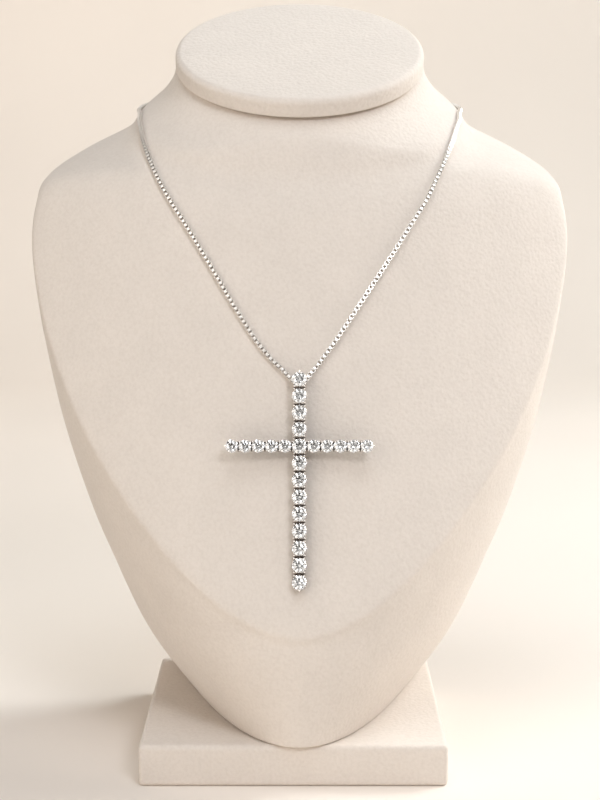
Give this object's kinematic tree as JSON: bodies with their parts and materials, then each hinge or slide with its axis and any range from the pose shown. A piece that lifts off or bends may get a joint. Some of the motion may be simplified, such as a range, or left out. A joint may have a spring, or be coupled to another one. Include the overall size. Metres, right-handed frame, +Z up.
{
  "type": "cross pendant necklace on a display bust",
  "caption": "Cross pendant of round brilliants in shared prongs on a box chain, worn on a padded neck display bust with a square base block.",
  "frame": {"origin": "on the underside of the base block, under the bust's middle plane and near the middle of the block", "axes": "+Z up the bust, -Y the way that the chest and the cross face, +X to the viewer's right"},
  "size_m": [0.1912, 0.141, 0.2616],
  "materials": {
    "cream_suede": "fine matt suede",
    "white_metal": "polished",
    "clear_stone": "faceted and polished"
  },
  "bodies": {
    "display": {"base_block": "cream_suede", "bust_body": "cream_suede", "neck_cap": "cream_suede", "chain": "white_metal", "clasp": "white_metal"},
    "pendant": {"cross_frame": "white_metal", "stone_upright_01": "clear_stone", "stone_upright_02": "clear_stone", "stone_upright_03": "clear_stone", "stone_upright_04": "clear_stone", "stone_upright_05": "clear_stone", "stone_upright_06": "clear_stone", "stone_upright_07": "clear_stone", "stone_upright_08": "clear_stone", "stone_upright_09": "clear_stone", "stone_upright_10": "clear_stone", "stone_upright_11": "clear_stone", "stone_upright_12": "clear_stone", "stone_upright_13": "clear_stone", "stone_left_1": "clear_stone", "stone_left_2": "clear_stone", "stone_left_3": "clear_stone", "stone_left_4": "clear_stone", "stone_left_5": "clear_stone", "stone_right_1": "clear_stone", "stone_right_2": "clear_stone", "stone_right_3": "clear_stone", "stone_right_4": "clear_stone", "stone_right_5": "clear_stone"}
  },
  "joints": [
    {"name": "cross_swing", "type": "hinge", "parent": "display", "child": "pendant", "pos_m": [0, -0.03225, 0.13162], "axis": [-1, 0, 0], "range_deg": [0, 40]}
  ]
}
